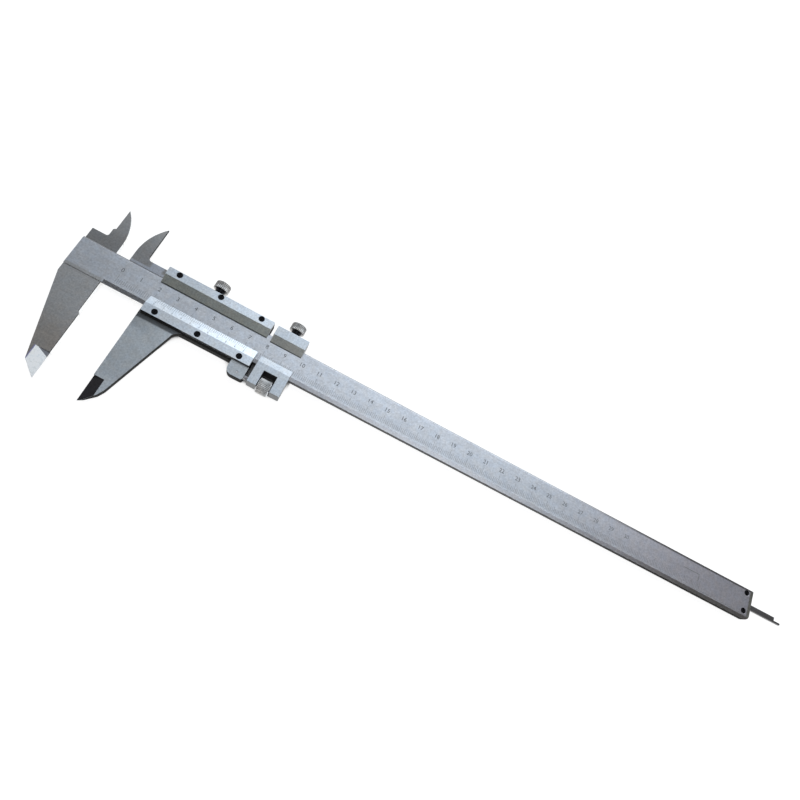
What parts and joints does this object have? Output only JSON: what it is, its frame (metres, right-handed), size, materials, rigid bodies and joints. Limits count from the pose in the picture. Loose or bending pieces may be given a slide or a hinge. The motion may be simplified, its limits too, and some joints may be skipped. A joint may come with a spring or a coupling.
{
  "type": "vernier caliper",
  "caption": "Long vernier caliper with outer and inside jaws, depth rod, lock screws and a fine-adjustment carriage.",
  "frame": {"origin": "on the beam's back face, on its centre line, in the plane of the fixed outer jaw's measuring face", "axes": "+X along the beam in the direction the slider opens, +Y towards the inside jaws, +Z out of the scale face"},
  "size_m": [0.4322, 0.099, 0.0084],
  "materials": {
    "beam_steel": "satin matt",
    "ground_steel": "fine ground",
    "satin_plate": "satin matt",
    "black_screws": "black oxide",
    "spring_steel": "rolled",
    "bright_steel": "turned",
    "knurled_steel": "knurled",
    "rod_steel": "ground"
  },
  "bodies": {
    "beam": {"main_beam": "beam_steel", "end_stop": "ground_steel", "end_stop_screws": "black_screws"},
    "slider": {"slider_frame": "ground_steel", "vernier_plate": "satin_plate", "vernier_plate_screws": "black_screws", "upper_guide_plate": "satin_plate", "upper_guide_plate_screws": "black_screws", "slider_gib_spring": "spring_steel", "gib_set_screws": "bright_steel", "depth_rod": "rod_steel", "depth_rod_pins": "bright_steel", "fine_adjustment_stud": "bright_steel", "stud_pin": "bright_steel"},
    "slider_lock": {"slider_lock_screw": "knurled_steel"},
    "carriage": {"carriage_frame": "satin_plate", "carriage_gib_spring": "spring_steel"},
    "carriage_lock": {"carriage_lock_screw": "knurled_steel"},
    "nut": {"adjusting_nut": "knurled_steel"}
  },
  "joints": [
    {"name": "slider_travel", "type": "slide", "parent": "beam", "child": "slider", "axis": [1, 0, 0], "range_m": [-0.0221, 0.2779]},
    {"name": "slider_lock_turn", "type": "hinge", "parent": "slider", "child": "slider_lock", "pos_m": [0.0496, 0.018, 0.0025], "axis": [0, 1, 0], "range_deg": [-360, 0]},
    {"name": "carriage_travel", "type": "slide", "parent": "slider", "child": "carriage", "axis": [1, 0, 0], "range_m": [-0.0019, 0.002]},
    {"name": "carriage_lock_turn", "type": "hinge", "parent": "carriage", "child": "carriage_lock", "pos_m": [0.0938, 0.018, 0.0025], "axis": [0, 1, 0], "range_deg": [-360, 0]},
    {"name": "nut_turn", "type": "hinge", "parent": "carriage", "child": "nut", "pos_m": [0.0934, -0.0177, 0.0025], "axis": [1, 0, 0], "range_deg": [-1369, 1441]}
  ],
  "couplings": [
    {"joint": "nut_turn", "follows": "carriage_travel", "rad_per_m": 12566}
  ]
}
